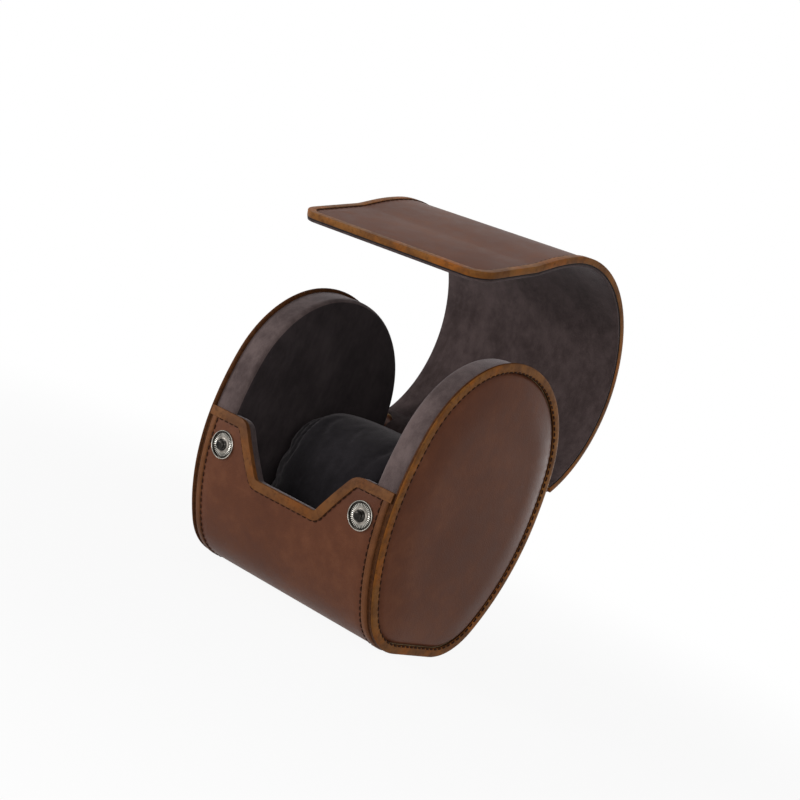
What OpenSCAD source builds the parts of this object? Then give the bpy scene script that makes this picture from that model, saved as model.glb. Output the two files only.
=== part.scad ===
// Travel case for one watch: an oval leather barrel with two end caps, a rigid
// lid that folds back on a leather hinge, a front flap with two snap fasteners,
// and a loose cushion that the watch is strapped round.
//
// X runs along the barrel, -Y is the front with the snaps, +Z is up.
// The origin is the middle of the flat that the case stands on. Sizes are in
// millimetres. Everything is drawn round the middle of the barrel's axis first.
// The lid is drawn closed and then swung open by open_angle, as it stands at rest.

/* [Case] */
// Length over the two end welts
case_len = 80.2; // [74:0.1:90]
// Depth from front to back over the leather
case_depth = 81; // [78:0.5:88]
// Height of the crown above the axis
crown_h = 49.1; // [46:0.1:54]
// Height of the axis above the table
base_h = 48.2; // [45:0.1:53]
// Radius of the two upper shoulders
shoulder_r = 38; // [34:0.5:40]
// Turn of the nearly straight upper sides, in degrees
side_turn = 12; // [9:0.5:16]
// Turn of the flatter crown on each side of the middle, in degrees
crown_turn = 16; // [12:0.5:20]
// Radius of the two lower corners
foot_r = 22.5; // [20.5:0.5:26]
// Width of the flat that the case stands on
foot_flat = 20; // [14:1:24]

/* [Layers] */
// Thickness of the base leather
leather_t = 1.2; // [0.9:0.1:1.6]
// Thickness of the base stiffener
board_t = 1.5; // [1:0.1:2]
// Thickness of the microsuede lining
lining_t = 0.8; // [0.5:0.1:1]
// Clear width between the two cheeks
bay_w = 60; // [54:0.5:62]
// Gap between the stiffener's edge and a cheek
bay_gap = 0.05; // [0.02:0.01:0.2]
// Radius of a cheek's inner edge
cheek_edge_r = 2; // [1.5:0.1:2.6]

/* [End caps] */
// Thickness of the end board
end_board_t = 1.5; // [1:0.1:2.5]
// Thickness of the welt along the barrel
welt_t = 1.4; // [1.2:0.1:2]
// Width of the welt on the end face
welt_w = 3.1; // [2.5:0.1:4]
// Thickness of the end panel's leather
panel_t = 0.9; // [0.6:0.1:1]
// Rise of the padded end panel above its edge
dome_h = 2; // [1:0.1:3]
// Width of the padded panel's rolled border
dome_w = 13; // [9:0.5:15]
// Width of the strip between the welt and the wrap's side stitching
strip_w = 3.3; // [2.5:0.1:4]
// Height of the strip over the wrap
strip_rise = 0.25; // [0.1:0.05:0.4]

/* [Front edge] */
// Width of the notch at its top
notch_top = 47.2; // [42:0.2:49]
// Width of the notch at its bottom
notch_bottom = 25.6; // [20:0.2:30]
// Depth of the notch below the horns
notch_depth = 15.6; // [12:0.1:18]
// Width of the binding down to its stitching
bind_w = 3; // [2:0.1:3.6]
// Thickness of the binding over the cut edge
bind_edge = 0.6; // [0.4:0.05:0.9]
// Thickness of the binding on the faces
bind_face = 0.45; // [0.3:0.05:0.5]

/* [Lid] */
// Angle the open lid stands at, away from closed
open_angle = 59.5; // [50:0.5:70]
// Height of the hinge fold above the axis
hinge_z = 11.5; // [9:0.5:11.5]
// Depth of the fold's middle inside the wrap's outer face
hinge_inset = 0.25; // [0.2:0.05:0.35]
// Free height of bare leather between the fold and the lid's board
hinge_bare = 6; // [4:0.5:6]
// Gap between the base leather and the rolled fold
hinge_gap = 0.35; // [0.3:0.05:0.5]
// Width of the lid
lid_w = 75; // [70:0.5:76]
// Clearance between the case outline and the closed lid
lid_gap = 0.4; // [0.3:0.05:0.8]
// Distance the closed lid is set forward
lid_forward = 0.4; // [0.3:0.05:0.6]
// Thickness of the lid's lining
lid_lining_t = 0.7; // [0.5:0.1:1]
// Thickness of the lid's board
lid_board_t = 1; // [0.8:0.1:1.4]
// Thickness of the lid's leather
lid_leather_t = 1.1; // [0.8:0.1:1.4]
// Height above the axis where the lid's curve turns into its straight front
lid_straight_z = 6; // [5:0.5:8]
// Length of the lid's straight front above the flex line
lid_skirt = 7; // [6.5:0.5:9]
// Length of the flap below the flex line
flap_len = 28; // [26:0.5:32]
// Radius of the flap's two corners
flap_corner_r = 7; // [5:0.5:9]
// Half of the slit in the boards, linings and bindings along the flex line
flex_gap = 0.3; // [0.25:0.05:0.35]
// Gap between the flap leather's rolled fold and the lid's leather
fold_gap = 0.3; // [0.25:0.05:0.4]
// Angle the flap is pressed in to close the snaps
press_angle = 8; // [6:0.5:8]
// Angle the free flap leans out at rest
flap_lean = 6; // [0:0.5:10]
// Width of the lid's binding down to its stitching
lid_bind_w = 2.7; // [2:0.1:3.4]
// Thickness of the lid's binding over the cut edge
lid_bind_edge = 0.5; // [0.4:0.05:0.8]
// Thickness of the lid's binding on the outer face
lid_bind_face = 0.35; // [0.25:0.05:0.5]

/* [Snaps] */
// Distance of each snap from the middle
snap_x = 29.8; // [29:0.1:30]
// Distance of each snap below the horns
snap_z = 10.3; // [9.5:0.1:11]
// Radius of the stud's ring
ring_r = 4.6; // [4:0.1:4.7]
// Height of the ring over the leather
ring_h = 0.75; // [0.5:0.05:0.85]
// Radius of the stud's shaft
shaft_r = 1.1; // [0.8:0.05:1.2]
// Radius of the stud's head
head_r = 1.55; // [1.4:0.05:1.6]
// Height of the stud over the leather
stud_h = 2.1; // [1.8:0.05:2.15]
// Radius of the washer under the leather
washer_r = 2.6; // [2:0.1:3]
// Thickness of the washer
washer_t = 0.5; // [0.3:0.05:0.55]
// Clearance around each metal piece of a snap
snap_fit = 0.05; // [0.03:0.01:0.08]
// Radius of the socket's flange
socket_flange_r = 3.6; // [3.2:0.1:4]
// Radius of the socket's barrel
socket_barrel_r = 2.9; // [2.7:0.1:3.1]
// Radius of the socket's mouth
socket_mouth_r = 1.95; // [1.9:0.05:2.1]
// Height of the socket's lip below the lining
socket_lip = 0.15; // [0.05:0.05:0.2]
// Thickness of the socket's flange
socket_flange_t = 0.6; // [0.4:0.1:0.7]
// Thickness of the socket's spring wire
spring_wire = 0.44; // [0.3:0.02:0.5]

/* [Cushion] */
// Width of the cushion along the barrel
cushion_w = 54; // [48:0.5:55]
// Depth of the cushion from front to back
cushion_d = 46; // [40:0.5:50]
// Height of the cushion
cushion_h = 58; // [50:0.5:60]
// Thickness of the cushion's cover
cover_t = 1; // [0.8:0.1:1.5]
// Clearance under the cushion
cushion_gap = 0.3; // [0.3:0.05:0.5]

/* [Hidden] */
$fn = 144;
far = 70;

// Length of the chords that stand for the oval's arcs
$chord = 2.2;

leather_brown = [0.36, 0.24, 0.19];
leather_tan = [0.60, 0.37, 0.17];
suede_grey = [0.36, 0.32, 0.33];
board_buff = [0.72, 0.62, 0.47];
foam_cream = [0.88, 0.84, 0.74];
snap_metal = [0.58, 0.57, 0.55];
cushion_dark = [0.16, 0.15, 0.16];

// The oval's tangent arcs, from two equations for each quarter
half_depth = case_depth / 2;
side_bulge = 1 - cos(side_turn);
crown_bulge = 1 - cos(crown_turn);
arc_det = side_bulge * crown_bulge - sin(crown_turn) * sin(side_turn);
side_extra = ((half_depth - shoulder_r) * crown_bulge
              - (crown_h - shoulder_r) * sin(crown_turn)) / arc_det;
crown_extra = ((crown_h - shoulder_r) * side_bulge
               - (half_depth - shoulder_r) * sin(side_turn)) / arc_det;
side_r = shoulder_r + side_extra;
crown_r = shoulder_r + crown_extra;
shoulder_y = crown_extra * sin(crown_turn);
shoulder_z = side_extra * sin(side_turn);
foot_y = foot_flat / 2;
foot_turn = 2 * atan((half_depth - foot_r - foot_y) / (base_h - foot_r));
flank_r = foot_r + (base_h - foot_r) / sin(foot_turn);

// Each arc: centre y, centre z, radius, first and last direction of its normal
OUTLINE = [
    [half_depth - side_r, 0, side_r, 0, side_turn],
    [shoulder_y, shoulder_z, shoulder_r, side_turn, 90 - crown_turn],
    [0, crown_h - crown_r, crown_r, 90 - crown_turn, 90 + crown_turn],
    [-shoulder_y, shoulder_z, shoulder_r, 90 + crown_turn, 180 - side_turn],
    [side_r - half_depth, 0, side_r, 180 - side_turn, 180],
    [flank_r - half_depth, 0, flank_r, 180, 180 + foot_turn],
    [-foot_y, foot_r - base_h, foot_r, 180 + foot_turn, 270],
    [foot_y, foot_r - base_h, foot_r, 270, 360 - foot_turn],
    [half_depth - flank_r, 0, flank_r, 360 - foot_turn, 360],
    [half_depth - side_r, 0, side_r, 360, 360 + side_turn]
];

half_len = case_len / 2;
seat_x = half_len - welt_t;
cheek_x = bay_w / 2;
bay_x = cheek_x - bay_gap;
strip_x = seat_x - strip_w;
in_leather = -leather_t;
in_board = in_leather - board_t;
in_lining = in_board - lining_t;
cheek_back_x = seat_x - end_board_t;
dome_r = (dome_w * dome_w + dome_h * dome_h) / (2 * dome_h);
dome_off = -welt_w - dome_w;
dome_x = seat_x + panel_t + dome_h;

// Hinge fold and the ends of the wrap beside it
hinge_turn = asin(hinge_z / side_r);
fold_r = lid_leather_t / 2;
fold_worn = lid_leather_t / 20;
hinge_y = half_depth - hinge_inset - side_r * (1 - cos(hinge_turn));
wrap_end = 360 + asin((hinge_z - fold_r - hinge_gap) / side_r);
lining_end = 360 + asin((hinge_z - hinge_bare / 2) / side_r);

// Lid layers, outwards from the case outline
lid_in = lid_gap;
lid_mid = lid_in + lid_lining_t;
lid_sub = lid_mid + lid_board_t;
lid_out = lid_sub + lid_leather_t;
lid_start = asin((hinge_z + hinge_bare) / side_r);
lid_end = 180 - asin(lid_straight_z / side_r);
lid_x = lid_w / 2;
lid_core_x = lid_x - lid_bind_edge;
front_y = side_r - half_depth + side_r * cos(lid_end) - lid_forward;
front_z = side_r * sin(lid_end);
flex_off = (lid_sub + lid_out) / 2;
flap_tip = lid_skirt + flap_len;

// Snap places: the stud on the base, and the same spot carried to the flap
snap_turn = 180 + asin(snap_z / flank_r);
snap_y = flank_r - half_depth + flank_r * cos(snap_turn);
seat_sag = ring_r * ring_r / (2 * flank_r) + 0.01;
washer_sag = washer_r * washer_r / (2 * flank_r) + 0.01;
washer_top = in_leather - washer_sag;
flex_y = front_y + flex_off * cos(lid_end) + lid_skirt * -sin(lid_end);
flex_z = front_z + flex_off * sin(lid_end) + lid_skirt * cos(lid_end);
stud_dy = snap_y + stud_h * cos(snap_turn) - flex_y;
stud_dz = -snap_z + stud_h * sin(snap_turn) - flex_z;
flap_up = lid_end - 90;
socket_y = lid_skirt
           - (stud_dy * cos(flap_up + press_angle) + stud_dz * sin(flap_up + press_angle));

// Snap details
rim_w = ring_h;
dish_t = ring_h / 2;
head_t = 0.9;
spring_r = socket_mouth_r + spring_wire / 2;

// Slope of the notch's sides
slant = (notch_top - notch_bottom) / 2 / notch_depth;
slant_len = sqrt(1 + slant * slant);

// Steps of a rounded edge, rings and chords of the padded caps
EDGE_STEPS = 4;
DOME_RINGS = 5;
DOME_CHORD = 4.4;

// Rings, sides and roundness of the cushion
CUSHION_RINGS = 15;
CUSHION_SIDES = 30;
end_power = 4.5;
side_power = 2.7;

function on_arc(arc, n, off) = [arc[0], arc[1]] + (arc[2] + off) * [cos(n), sin(n)];

// Directions of the corners on one arc between from and to. The corners inside
// stay where they are, so that layers of different length lie flat on each other.
function corners(arc, from, to) =
    let (first = max(arc[3], from), last = min(arc[4], to),
         count = ceil(arc[2] * (arc[4] - arc[3]) * PI / 180 / $chord),
         step = (arc[4] - arc[3]) / count, near = step / 20)
    last <= first ? [] :
    concat(first == from || arc[3] == 270 ? [first] : [],
           [for (k = [1 : count - 1]) let (n = arc[3] + k * step)
               if (n > first + near && n < last - near) n],
           [last]);

// Points along the oval, grown by off, between two normal directions
function along(off, from, to) =
    [for (arc = OUTLINE) for (n = corners(arc, from, to)) on_arc(arc, n, off)];
function reversed(list) = [for (i = [len(list) - 1 : -1 : 0]) list[i]];
function without_last(list) = [for (i = [0 : len(list) - 2]) list[i]];

// Lifts a piece drawn round the barrel's axis, so that the case stands on Z = 0
module stand() {
    translate([0, 0, base_h]) children();
}

// Lays a flat shape's x along Y and its y along Z, and its height along X
module to_x() {
    rotate(a = 120, v = [1, 1, 1]) children();
}

// The whole oval as a flat shape, grown by off
module oval(off) {
    polygon(without_last(along(off, 0, 360)));
}

// A sheet between two rows of points, from x0 to x1
module layer(inner, outer, x0, x1) {
    translate([x0, 0, 0]) to_x() linear_extrude(height = x1 - x0)
        polygon(concat(outer, reversed(inner)));
}

// A sheet that follows the oval from off0 to off1, between x0 and x1
module sheet(off0, off1, x0, x1, from, to) {
    layer(along(off0, from, to), along(off1, from, to), x0, x1);
}

// A solid oval slice from x0 to x1
module slice(off, x0, x1) {
    translate([x0, 0, 0]) to_x() linear_extrude(height = x1 - x0) oval(off);
}

// A solid oval disc from x0 to x1 whose edge at x0 is rounded with radius r
function edge_inset(r, depth) = r - sqrt(r * r - (r - depth) * (r - depth));
module rounded_disc(off, x0, x1, r) {
    step = r / EDGE_STEPS;
    slice(off, x0 + r, x1);
    for (i = [0 : EDGE_STEPS - 1])
        slice(off - edge_inset(r, (i + 0.5) * step), x0 + i * step, x0 + (i + 1) * step);
}

module both_ends() {
    children();
    mirror([1, 0, 0]) children();
}

// Cuts away everything above the front edge, moved w into the panel
function notch_x(half, w) = half + w * (slant_len - slant);
module above_front_edge(w) {
    top = notch_x(notch_top / 2, w);
    low = notch_x(notch_bottom / 2, w);
    translate([0, -half_depth / 3, 0]) rotate([90, 0, 0]) linear_extrude(height = far)
        polygon([[-far, far], [-far, -w], [-top, -w], [-low, -notch_depth - w],
                 [low, -notch_depth - w], [top, -w], [far, -w], [far, far]]);
}

// Puts local Z on the wrap's outward normal at each stud
module at_studs() {
    for (side = [-1, 1])
        translate([side * snap_x, snap_y, -snap_z]) rotate([snap_turn - 90, 0, 0]) children();
}

module stud_seats() {
    at_studs() translate([0, 0, -seat_sag]) cylinder(r = ring_r + snap_fit, h = far / 10);
}

module shaft_holes() {
    at_studs() translate([0, 0, -far / 10]) cylinder(r = shaft_r + snap_fit, h = far / 5);
}

module washer_pockets() {
    at_studs() translate([0, 0, washer_top - washer_t - snap_fit])
        cylinder(r = washer_r + snap_fit, h = washer_t + washer_sag + board_t / 2);
}

module wrap(off0, off1, x, end) {
    sheet(off0, off1, -x, x, 180, end);
}

module base_leather() {
    color(leather_brown) stand() difference() {
        wrap(in_leather, 0, strip_x, wrap_end);
        above_front_edge(bind_edge);
        stud_seats();
        shaft_holes();
    }
}

module base_board() {
    color(board_buff) stand() difference() {
        wrap(in_board, in_leather, bay_x, lining_end);
        above_front_edge(bind_edge);
        washer_pockets();
        shaft_holes();
    }
}

module base_lining() {
    color(suede_grey) stand() difference() {
        wrap(in_lining, in_board, bay_x, lining_end);
        above_front_edge(bind_edge);
    }
}

// Bound edge of the horns and the notch: a channel round the wrap's layers
// between the cheeks, and an angle over the leather beside them
module front_binding() {
    binding_end = 180 + foot_turn;
    color(leather_tan) stand() difference() {
        union() {
            wrap(in_lining - bind_face, bind_face, bay_x, binding_end);
            both_ends() sheet(in_leather, bind_face, bay_x, seat_x, 180, binding_end);
        }
        above_front_edge(0);
        difference() {
            wrap(in_lining, 0, bay_x, binding_end);
            above_front_edge(bind_edge);
        }
        both_ends() difference() {
            sheet(in_leather - 1, 0, bay_x, seat_x + 1, 180, binding_end);
            above_front_edge(bind_edge);
        }
        difference() {
            translate([-far, -far, -far]) cube([2 * far, 2 * far, far * 1.5]);
            above_front_edge(bind_w);
        }
    }
}

module side_strip() {
    difference() {
        sheet(in_leather, strip_rise, strip_x, seat_x, 180, wrap_end);
        above_front_edge(bind_edge);
        intersection() {
            sheet(0, 1, strip_x - 1, seat_x + 1, 180, 180 + foot_turn);
            above_front_edge(bind_w);
        }
    }
}
module side_strip_right() { color(leather_brown) stand() side_strip(); }
module side_strip_left() { color(leather_brown) stand() mirror([1, 0, 0]) side_strip(); }

// Padded end cap from low: a crowned block whose top is drawn in by shrink
module dome(shrink, low = seat_x) {
    r = dome_r - shrink;
    hull() for (k = [0 : DOME_RINGS]) {
        reach = dome_w * (1 - k / DOME_RINGS);
        top = dome_x - dome_r + sqrt(r * r - reach * reach);
        if (top > seat_x + 0.01) slice(dome_off + reach, low, top, $chord = DOME_CHORD);
    }
}

module end_panel() {
    difference() {
        dome(0);
        dome(panel_t, seat_x - 1);
    }
}
module end_panel_right() { color(leather_brown) stand() end_panel(); }
module end_panel_left() { color(leather_brown) stand() mirror([1, 0, 0]) end_panel(); }

module end_padding() { dome(panel_t); }
module end_padding_right() { color(foam_cream) stand() end_padding(); }
module end_padding_left() { color(foam_cream) stand() mirror([1, 0, 0]) end_padding(); }

module end_board() { slice(in_leather, cheek_back_x, seat_x); }
module end_board_right() { color(board_buff) stand() end_board(); }
module end_board_left() { color(board_buff) stand() mirror([1, 0, 0]) end_board(); }

module end_welt() {
    difference() {
        slice(0, seat_x, half_len);
        slice(-welt_w, seat_x - 1, half_len + 1);
    }
}
module end_welt_right() { color(leather_tan) stand() end_welt(); }
module end_welt_left() { color(leather_tan) stand() mirror([1, 0, 0]) end_welt(); }

module cheek_core_solid() {
    slice(in_leather - lining_t, cheek_x + lining_t, cheek_back_x);
}
module cheek_core(side) {
    color(foam_cream) stand() difference() {
        if (side > 0) cheek_core_solid();
        else mirror([1, 0, 0]) cheek_core_solid();
        shaft_holes();
    }
}
module cheek_core_right() { cheek_core(1); }
module cheek_core_left() { cheek_core(-1); }

module cheek_shell() {
    difference() {
        rounded_disc(in_leather, cheek_x, cheek_back_x, cheek_edge_r);
        cheek_core_solid();
    }
}
module cheek_cover(side) {
    color(suede_grey) stand() difference() {
        if (side > 0) cheek_shell();
        else mirror([1, 0, 0]) cheek_shell();
        washer_pockets();
        shaft_holes();
    }
}
module cheek_cover_right() { cheek_cover(1); }
module cheek_cover_left() { cheek_cover(-1); }

// Stud ring: a rolled rim round a shallow dish
module snap_rings() {
    color(snap_metal) stand() at_studs() rotate_extrude() {
        translate([shaft_r + snap_fit, -seat_sag]) square([ring_r - rim_w / 2 - shaft_r - snap_fit,
                                                           seat_sag + dish_t]);
        translate([ring_r - rim_w, -seat_sag]) square([rim_w, seat_sag + ring_h - rim_w / 2]);
        translate([ring_r - rim_w / 2, ring_h - rim_w / 2]) circle(d = rim_w, $fn = 32);
    }
}

// Stud: a shaft with a collar in the dish and a round head
module snap_studs() {
    foot = washer_top - washer_t;
    color(snap_metal) stand() at_studs() rotate_extrude() {
        translate([0, foot]) square([shaft_r, stud_h - head_t / 2 - foot]);
        translate([0, dish_t]) square([head_r + head_t / 2, head_t / 3]);
        translate([0, stud_h - head_t]) square([head_r - head_t / 2, head_t]);
        translate([head_r - head_t / 2, stud_h - head_t / 2]) circle(d = head_t, $fn = 32);
    }
}

module snap_washers() {
    color(snap_metal) stand() at_studs() translate([0, 0, washer_top - washer_t])
        rotate_extrude() translate([shaft_r + snap_fit, 0])
            square([washer_r - shaft_r - snap_fit, washer_t]);
}

// Swings the closed lid open round the fold
module open_lid() {
    translate([0, hinge_y, hinge_z]) rotate([-open_angle, 0, 0])
        translate([0, -hinge_y, -hinge_z]) children();
}

// Local X along the barrel, Y up the lid's straight front, Z outwards
module on_front() {
    translate([0, front_y, front_z]) rotate([lid_end - 90, 0, 0]) children();
}

// Points over the lid's curve and down its straight front, up to gap before the flex line
function lid_points(off, gap) =
    let (arch = along(off, lid_start, lid_end), foot = arch[len(arch) - 1])
    [for (p = concat(arch, [foot + (lid_skirt - gap) * [-sin(lid_end), cos(lid_end)]]))
        p - [lid_forward, 0]];

module lid_layer(off0, off1, x0, x1, gap = flex_gap) {
    layer(lid_points(off0, gap), lid_points(off1, gap), x0, x1);
}

// Bare leather from the rolled fold to the lid's first stiff point
module fold_leather() {
    leather_mid = (lid_sub + lid_out) / 2;
    root = on_arc(OUTLINE[0], lid_start, leather_mid) - [lid_forward, 0];
    span = root - [hinge_y, hinge_z];
    lean = atan2(span[1], span[0]);
    translate([-lid_core_x, hinge_y, hinge_z]) {
        rotate([0, 90, 0]) cylinder(r = fold_r, h = 2 * lid_core_x);
        rotate([lean, 0, 0]) translate([0, 0, -fold_r])
            cube([2 * lid_core_x, norm(span) + fold_r, lid_leather_t]);
    }
}

module lid_leather() {
    color(leather_brown) stand() open_lid() {
        lid_layer(lid_sub, lid_out, -lid_core_x, lid_core_x, fold_r + fold_gap);
        fold_leather();
    }
}

module lid_board() {
    color(board_buff) stand() open_lid() lid_layer(lid_mid, lid_sub, -lid_core_x, lid_core_x);
}

module lid_lining() {
    color(suede_grey) stand() open_lid() lid_layer(lid_in, lid_mid, -lid_x, lid_x);
}

module lid_binding() {
    color(leather_tan) stand() open_lid() both_ends() difference() {
        lid_layer(lid_mid, lid_out + lid_bind_face, lid_x - lid_bind_w, lid_x);
        lid_layer(lid_mid - 1, lid_out, lid_x - lid_bind_w - 1, lid_core_x);
    }
}

// Flat shape of the flap, its three free edges moved in by inset
module flap_shape(inset, gap) {
    half = lid_x - inset;
    tip = flap_tip - inset;
    top = lid_skirt + gap;
    r = max(flap_corner_r - inset, 0.5);
    translate([r - half, -tip]) square([2 * (half - r), tip - top]);
    translate([-half, r - tip]) square([2 * half, tip - r - top]);
    for (side = [-1, 1]) translate([side * (half - r), r - tip]) circle(r = r);
}

module flap_sheet(off0, off1, inset, gap = flex_gap) {
    on_front() translate([0, 0, off0]) linear_extrude(height = off1 - off0)
        flap_shape(inset, gap);
}

// Swings the flap with the open lid, leaning out round the flex line
module open_flap() {
    open_lid() translate([0, flex_y, flex_z]) rotate([-flap_lean, 0, 0])
        translate([0, -flex_y, -flex_z]) children();
}

module at_sockets() {
    on_front() for (side = [-1, 1]) translate([side * snap_x, -socket_y, 0]) children();
}

// The flap's leather ends in a rolled fold that turns on the flex line
module flap_leather() {
    color(leather_brown) stand() open_flap() {
        flap_sheet(lid_sub, lid_out, lid_bind_edge, 0);
        translate([-lid_core_x, flex_y, flex_z]) rotate([0, 90, 0])
            cylinder(r = fold_r - fold_worn, h = 2 * lid_core_x);
    }
}

module flap_board() {
    color(board_buff) stand() open_flap() difference() {
        flap_sheet(lid_mid, lid_sub, lid_bind_edge);
        at_sockets() cylinder(r = socket_flange_r + snap_fit, h = lid_out);
    }
}

module flap_lining() {
    color(suede_grey) stand() open_flap() difference() {
        flap_sheet(lid_in, lid_mid, 0);
        at_sockets() cylinder(r = socket_barrel_r + snap_fit, h = lid_out);
    }
}

module flap_binding() {
    face = lid_out + lid_bind_face;
    color(leather_tan) stand() open_flap() difference() {
        flap_sheet(lid_mid, face, 0);
        flap_sheet(lid_mid - 1, lid_out, lid_bind_edge);
        flap_sheet(lid_mid - 1, face + 1, lid_bind_w);
    }
}

module socket_bodies() {
    color(snap_metal) stand() open_flap() at_sockets() rotate_extrude() difference() {
        union() {
            translate([socket_mouth_r, lid_in - socket_lip])
                square([socket_barrel_r - socket_mouth_r, lid_lining_t + socket_lip]);
            translate([socket_mouth_r, lid_mid])
                square([socket_flange_r - socket_mouth_r, socket_flange_t]);
        }
        translate([spring_r, lid_mid]) circle(d = spring_wire + 2 * snap_fit, $fn = 32);
    }
}

module socket_springs() {
    color(snap_metal) stand() open_flap() at_sockets() rotate_extrude()
        translate([spring_r, lid_mid]) circle(d = spring_wire, $fn = 32);
}

module socket_caps() {
    color(snap_metal) stand() open_flap() at_sockets() translate([0, 0, lid_mid + socket_flange_t])
        cylinder(r = socket_flange_r, h = lid_board_t - socket_flange_t);
}

// Cushion: a soft block with a crown on every side and rounded, drawn-in ends
function soft(v, power) = sign(v) * pow(abs(v), 2 / power);
function cushion_ring(i, shrink) =
    let (a = -90 + 180 * (i + 1) / (CUSHION_RINGS + 1), s = soft(cos(a), end_power))
    [for (k = [0 : CUSHION_SIDES - 1]) let (t = 360 * k / CUSHION_SIDES)
        [(cushion_w / 2 - shrink) * soft(sin(a), end_power),
         (cushion_d / 2 - shrink) * s * soft(cos(t), side_power),
         (cushion_h / 2 - shrink) * s * soft(sin(t), side_power)]];
module cushion_body(shrink) {
    last = CUSHION_RINGS * CUSHION_SIDES;
    points = concat([for (i = [0 : CUSHION_RINGS - 1]) each cushion_ring(i, shrink)],
                    [[shrink - cushion_w / 2, 0, 0], [cushion_w / 2 - shrink, 0, 0]]);
    faces = concat(
        [for (i = [0 : CUSHION_RINGS - 2]) for (k = [0 : CUSHION_SIDES - 1])
            let (a = i * CUSHION_SIDES + k, b = i * CUSHION_SIDES + (k + 1) % CUSHION_SIDES)
            each [[a, a + CUSHION_SIDES, b + CUSHION_SIDES], [a, b + CUSHION_SIDES, b]]],
        [for (k = [0 : CUSHION_SIDES - 1]) [last, k, (k + 1) % CUSHION_SIDES]],
        [for (k = [0 : CUSHION_SIDES - 1])
            [last + 1, last - CUSHION_SIDES + (k + 1) % CUSHION_SIDES, last - CUSHION_SIDES + k]]);
    translate([0, 0, cushion_h / 2 + cushion_gap - in_lining - base_h])
        polyhedron(points = points, faces = faces, convexity = 4);
}

module cushion_cover() {
    color(cushion_dark) stand() difference() {
        cushion_body(0);
        cushion_body(cover_t);
    }
}

module cushion_core() {
    color(foam_cream) stand() cushion_body(cover_t);
}

base_leather();
base_board();
base_lining();
front_binding();
side_strip_left();
side_strip_right();
end_panel_left();
end_panel_right();
end_padding_left();
end_padding_right();
end_board_left();
end_board_right();
end_welt_left();
end_welt_right();
cheek_core_left();
cheek_core_right();
cheek_cover_left();
cheek_cover_right();
snap_rings();
snap_studs();
snap_washers();
lid_leather();
lid_board();
lid_lining();
lid_binding();
flap_leather();
flap_board();
flap_lining();
flap_binding();
socket_bodies();
socket_springs();
socket_caps();
cushion_cover();
cushion_core();
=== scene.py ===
# %% [markdown]
# # A leather travel case for a wristwatch
# The case is a short leather barrel that lies on its flattened belly. Two stiff oval ends
# carry a padded leather panel each, a leather wrap runs under them from the front edge up
# the back, and a lid swings on that same leather. The lid's free end is a flap that folds
# down over the front and closes on two snaps. The imported model gives the places; this
# script dresses it. First it is loaded.

# %% Load the imported model
import math
import bpy
from mathutils import Matrix, Vector


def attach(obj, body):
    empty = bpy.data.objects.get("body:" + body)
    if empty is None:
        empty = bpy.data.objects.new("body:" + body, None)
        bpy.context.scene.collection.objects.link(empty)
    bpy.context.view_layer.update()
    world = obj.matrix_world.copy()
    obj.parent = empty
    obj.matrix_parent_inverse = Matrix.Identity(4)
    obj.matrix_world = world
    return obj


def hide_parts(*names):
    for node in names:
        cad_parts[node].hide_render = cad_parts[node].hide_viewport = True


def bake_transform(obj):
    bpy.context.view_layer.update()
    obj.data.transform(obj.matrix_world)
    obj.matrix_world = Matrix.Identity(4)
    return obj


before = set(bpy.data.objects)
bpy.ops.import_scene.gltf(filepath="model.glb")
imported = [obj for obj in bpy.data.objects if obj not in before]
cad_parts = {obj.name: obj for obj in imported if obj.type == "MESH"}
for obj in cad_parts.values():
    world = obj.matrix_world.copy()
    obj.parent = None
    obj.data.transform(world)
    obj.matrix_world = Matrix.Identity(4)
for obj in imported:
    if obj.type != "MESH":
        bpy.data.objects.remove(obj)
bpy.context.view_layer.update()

# %% [markdown]
# The camera comes first, because it decides which side matters most. The photograph was
# taken from low in front and to the right, with the camera rolled by about 22 degrees,
# which is why the case seems to stand on one corner. Three angles say which way it looks.
# A long lens keeps the ovals from bulging. The frame is square, so lens and sensor give
# its angle of view alone.

# %% Camera at the photograph's place
MM = 0.001
CAMERA_PLACE = (279.5786, -394.6912, 92.0469)
TO_RIGHT, RISE, ROLL = 35.4268, 2.4331, 22.2915
SENSOR, LENS = 36, 67.0759


def sin(degrees):
    return math.sin(math.radians(degrees))


def cos(degrees):
    return math.cos(math.radians(degrees))


back = Vector((sin(TO_RIGHT) * cos(RISE), -cos(TO_RIGHT) * cos(RISE), sin(RISE)))
level = Vector((cos(TO_RIGHT), sin(TO_RIGHT), 0))
right = level * cos(ROLL) + back.cross(level) * sin(ROLL)
facing = Matrix((right, back.cross(right), back)).transposed().to_4x4()
camera_data = bpy.data.cameras.new("camera")
camera_data.sensor_width, camera_data.lens = SENSOR, LENS
camera_data.clip_start, camera_data.clip_end = 0.01, 50
camera = bpy.data.objects.new("camera", camera_data)
bpy.context.scene.collection.objects.link(camera)
camera.matrix_world = Matrix.Translation(Vector(CAMERA_PLACE) * MM) @ facing
bpy.context.scene.camera = camera
bpy.context.scene.view_settings.view_transform = "Standard"
print("camera at", CAMERA_PLACE, "mm, lens", LENS)

# %% [markdown]
# Shader maths reads best as plain expressions. The class below wraps one socket of a
# material, so that `grain * 0.4 + 0.3` adds the two Math nodes by itself. Everything
# else comes from one method that takes a node's type, its settings and its inputs.

# %% A small language for materials
def srgb(red, green, blue):
    """A colour picked on screen, 0 to 255, as the linear values a shader wants."""
    def linear(v):
        v /= 255
        return v / 12.92 if v <= 0.04045 else ((v + 0.055) / 1.055) ** 2.4
    return (linear(red), linear(green), linear(blue), 1)


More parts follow.
